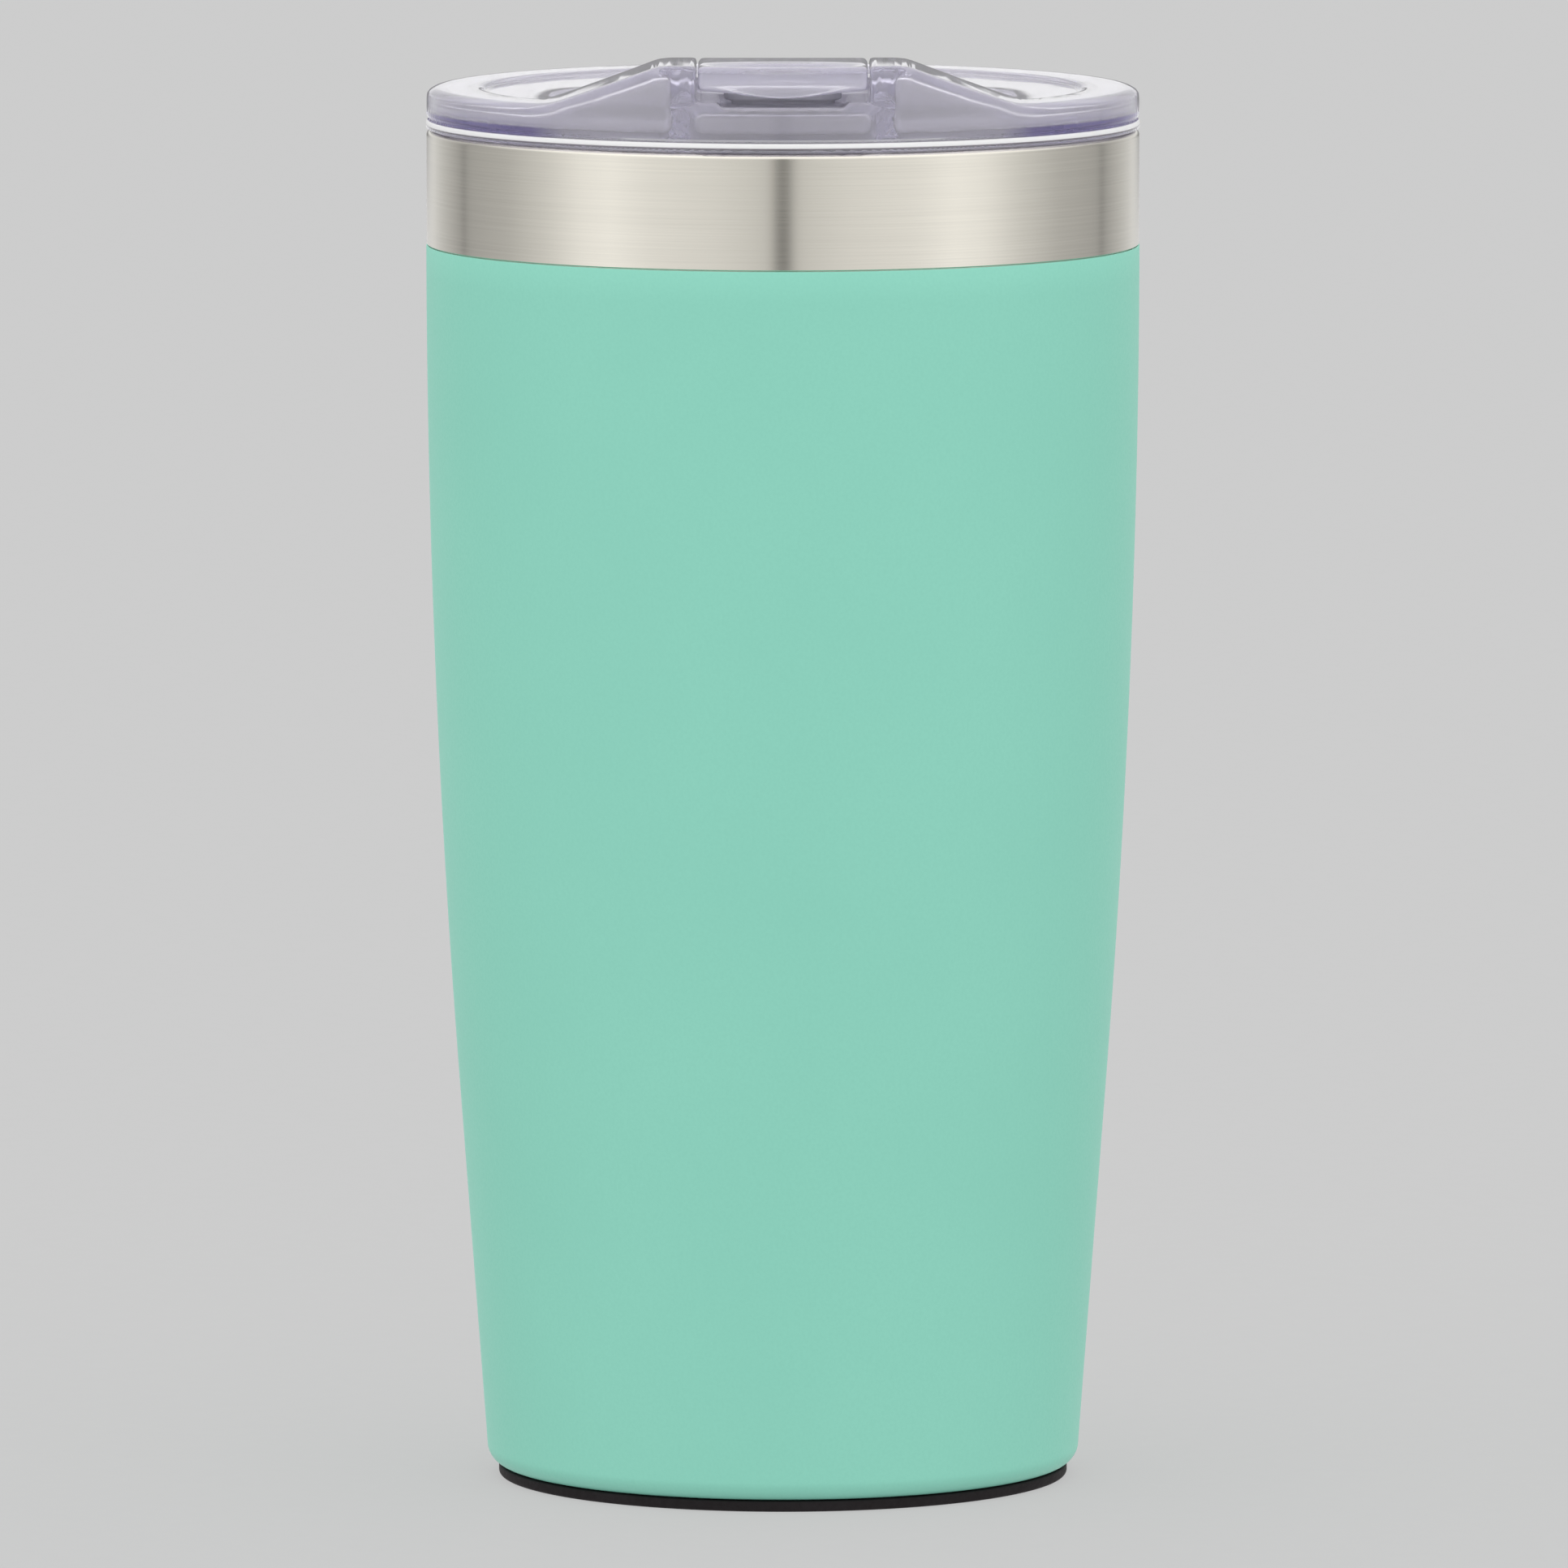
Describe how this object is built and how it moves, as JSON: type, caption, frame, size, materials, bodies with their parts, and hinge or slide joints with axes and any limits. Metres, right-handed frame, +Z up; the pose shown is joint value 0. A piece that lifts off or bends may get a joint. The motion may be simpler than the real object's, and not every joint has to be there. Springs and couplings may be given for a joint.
{
  "type": "insulated tumbler",
  "caption": "Vacuum-insulated steel tumbler with a tapered mint body, a bare steel rim band and a push-in clear lid with a flip-up drinking flap.",
  "frame": {"origin": "centre of the foot, on the surface the tumbler stands on", "axes": "+Z up the tumbler's axis, -Y towards the drinking side of the lid"},
  "size_m": [0.089, 0.089, 0.18],
  "materials": {
    "mint_coat": "satin powder coat, mint green",
    "steel": "stainless steel brushed round the axis",
    "copper": "bright copper foil",
    "clear_plastic": "clear polished plastic with a faint lavender tint",
    "silicone": "translucent silicone",
    "rubber": "matt black rubber",
    "tape": "double-sided adhesive tape",
    "sealing_glass": "dark solder glass",
    "getter_alloy": "pressed getter alloy"
  },
  "bodies": {
    "vessel": {"powder_coat": "mint_coat", "outer_shell": "steel", "inner_liner": "steel", "copper_foil": "copper", "outer_base": "steel", "vacuum_seal": "sealing_glass", "getter_cup": "steel", "getter_pill": "getter_alloy", "base_pad": "rubber", "pad_tape": "tape"},
    "seal": {"lid_seal": "silicone"},
    "lid": {"lid_shell": "clear_plastic"},
    "flap": {"drinking_flap": "clear_plastic", "sip_plug": "silicone", "vent_plug": "silicone"}
  },
  "joints": [
    {"name": "lid_lift", "type": "slide", "parent": "vessel", "child": "seal", "axis": [0, 0, 1], "range_m": [0, 0.05]},
    {"name": "lid_turn", "type": "hinge", "parent": "seal", "child": "lid", "pos_m": [0, 0, 0.163], "axis": [0, 0, 1], "continuous": true},
    {"name": "flap_swing", "type": "hinge", "parent": "lid", "child": "flap", "pos_m": [0, -0.009, 0.1748], "axis": [-1, 0, 0], "range_deg": [0, 150]}
  ]
}
